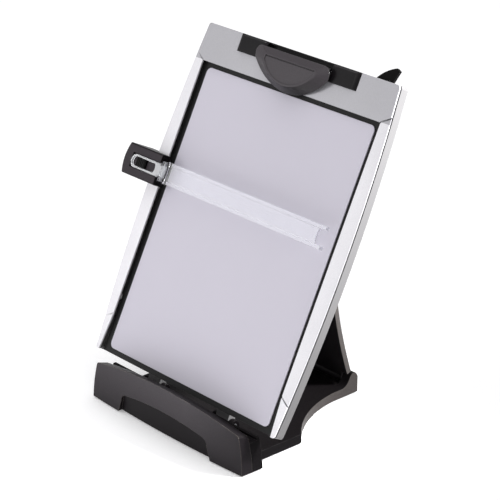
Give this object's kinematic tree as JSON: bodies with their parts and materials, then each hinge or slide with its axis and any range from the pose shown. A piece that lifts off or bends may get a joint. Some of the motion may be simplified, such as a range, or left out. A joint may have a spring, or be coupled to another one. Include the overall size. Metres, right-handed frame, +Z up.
{
  "type": "copy holder with line guide",
  "caption": "Desk copy holder: tilting framed board on a flared rear leg and low base, with a paper ledge, a sprung top clip and a sliding clear line guide.",
  "frame": {"origin": "centre of the bottom face of the front foot strip, on the desk", "axes": "+X to the user's right, +Y to the rear, +Z up"},
  "size_m": [0.2763, 0.182, 0.313],
  "materials": {
    "base_black": "fine satin texture",
    "ledge_black": "satin",
    "foot_rubber": "matt",
    "steel": "zinc",
    "leg_black": "fine satin texture",
    "tip_rubber": "matt",
    "shell_grey": "satin",
    "bezel_silver": "satin silver paint on plastic",
    "panel_black": "matt",
    "memo_white": "dry-wipe gloss",
    "rack_black": "matt",
    "track_black": "matt",
    "pen_clip_black": "satin",
    "housing_black": "satin",
    "jaw_black": "satin",
    "pad_rubber": "matt",
    "spring_steel": "bright wire",
    "slider_black": "satin",
    "chassis_black": "matt",
    "slider_back_black": "matt",
    "felt": "felt",
    "button_black": "satin",
    "clear_tongue": "clear",
    "clear_guide": "clear"
  },
  "bodies": {
    "base": {"base_tray": "base_black", "front_ledge": "ledge_black", "base_feet": "foot_rubber", "base_screws": "steel", "board_pivot_pins": "steel", "leg_hinge_pin": "steel"},
    "board": {"back_shell": "shell_grey", "front_frame": "bezel_silver", "inner_panel": "panel_black", "memo_panel": "memo_white", "frame_screws": "steel", "leg_rack": "rack_black", "guide_track": "track_black", "pen_clip": "pen_clip_black", "clip_housing": "housing_black", "clip_pin": "steel", "clip_springs": "spring_steel"},
    "leg": {"support_leg": "leg_black", "leg_tip_pad": "tip_rubber"},
    "clip": {"clip_jaw": "jaw_black", "clip_pad": "pad_rubber"},
    "slider": {"slider_front": "slider_black", "slider_chassis": "chassis_black", "slider_back": "slider_back_black", "slider_pads": "felt", "slider_screws": "steel", "button_spring": "spring_steel"},
    "button": {"guide_button": "button_black"},
    "tongue": {"guide_tongue": "clear_tongue"},
    "guide": {"line_guide": "clear_guide", "guide_hinge_pin": "steel"}
  },
  "joints": [
    {"name": "board_tilt", "type": "hinge", "parent": "base", "child": "board", "pos_m": [0, 0.0115, 0.022], "axis": [1, 0, 0], "range_deg": [0, 11.6]},
    {"name": "leg_swing", "type": "hinge", "parent": "base", "child": "leg", "pos_m": [0, 0.156, 0.0134], "axis": [1, 0, 0], "range_deg": [0, 16.6]},
    {"name": "clip_open", "type": "hinge", "parent": "board", "child": "clip", "pos_m": [0, 0.13431, 0.29869], "axis": [-1, 0, 0], "range_deg": [0, 24], "stiffness_Nm_per_rad": 0.25, "springref_deg": -22.92},
    {"name": "guide_slide", "type": "slide", "parent": "board", "child": "slider", "axis": [0, 0.4478, 0.8942], "range_m": [-0.12, 0.08]},
    {"name": "button_press", "type": "slide", "parent": "slider", "child": "button", "axis": [0, 0.8942, -0.4478], "range_m": [0, 0.0015], "stiffness_N_per_m": 400, "springref_m": -0.001},
    {"name": "guide_extend", "type": "slide", "parent": "slider", "child": "tongue", "axis": [1, 0, 0], "range_m": [0, 0.003]},
    {"name": "guide_flip", "type": "hinge", "parent": "tongue", "child": "guide", "pos_m": [-0.1008, 0.06797, 0.18876], "axis": [0, -0.4478, -0.8942], "range_deg": [0, 100]}
  ],
  "couplings": [
    {"joint": "leg_swing", "follows": "board_tilt", "ratio": 1.42}
  ]
}
